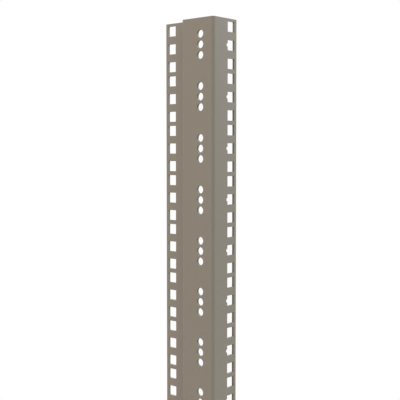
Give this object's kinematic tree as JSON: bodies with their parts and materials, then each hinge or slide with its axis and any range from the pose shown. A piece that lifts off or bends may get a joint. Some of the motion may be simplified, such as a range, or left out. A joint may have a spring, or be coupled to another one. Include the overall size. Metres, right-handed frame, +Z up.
{
  "type": "rack mounting rail",
  "caption": "Folded sheet-steel rack mounting rail with a joggled section, square captive-nut holes in two flanges and round fixing holes in the web.",
  "frame": {"origin": "middle of the rail's lower end", "axes": "+Z up the rail, +X out of the deep flange's outer face, -Y out of the web's front face"},
  "size_m": [0.0651, 0.0312, 0.5343],
  "materials": {
    "powder_coat": "taupe powder coat with a fine texture",
    "spring_steel": "zinc-plated spring steel",
    "zinc_plate": "bright zinc plate"
  },
  "bodies": {
    "rail_with_cages": {"rail": "powder_coat", "cage_u1_lower": "spring_steel", "cage_u1_upper": "spring_steel", "cage_u2_lower": "spring_steel", "cage_u2_upper": "spring_steel", "cage_u3_lower": "spring_steel", "cage_u3_upper": "spring_steel", "cage_u4_lower": "spring_steel", "cage_u4_upper": "spring_steel"},
    "nut_u1_lower": {"nut_u1_lower": "zinc_plate"},
    "nut_u1_upper": {"nut_u1_upper": "zinc_plate"},
    "nut_u2_lower": {"nut_u2_lower": "zinc_plate"},
    "nut_u2_upper": {"nut_u2_upper": "zinc_plate"},
    "nut_u3_lower": {"nut_u3_lower": "zinc_plate"},
    "nut_u3_upper": {"nut_u3_upper": "zinc_plate"},
    "nut_u4_lower": {"nut_u4_lower": "zinc_plate"},
    "nut_u4_upper": {"nut_u4_upper": "zinc_plate"}
  },
  "joints": [
    {"name": "nut_u1_lower_float", "type": "slide", "parent": "rail_with_cages", "child": "nut_u1_lower", "axis": [0, 0, 1], "range_m": [0, 0.0008]},
    {"name": "nut_u1_upper_float", "type": "slide", "parent": "rail_with_cages", "child": "nut_u1_upper", "axis": [0, 0, 1], "range_m": [0, 0.0008]},
    {"name": "nut_u2_lower_float", "type": "slide", "parent": "rail_with_cages", "child": "nut_u2_lower", "axis": [0, 0, 1], "range_m": [0, 0.0008]},
    {"name": "nut_u2_upper_float", "type": "slide", "parent": "rail_with_cages", "child": "nut_u2_upper", "axis": [0, 0, 1], "range_m": [0, 0.0008]},
    {"name": "nut_u3_lower_float", "type": "slide", "parent": "rail_with_cages", "child": "nut_u3_lower", "axis": [0, 0, 1], "range_m": [0, 0.0008]},
    {"name": "nut_u3_upper_float", "type": "slide", "parent": "rail_with_cages", "child": "nut_u3_upper", "axis": [0, 0, 1], "range_m": [0, 0.0008]},
    {"name": "nut_u4_lower_float", "type": "slide", "parent": "rail_with_cages", "child": "nut_u4_lower", "axis": [0, 0, 1], "range_m": [0, 0.0008]},
    {"name": "nut_u4_upper_float", "type": "slide", "parent": "rail_with_cages", "child": "nut_u4_upper", "axis": [0, 0, 1], "range_m": [0, 0.0008]}
  ]
}
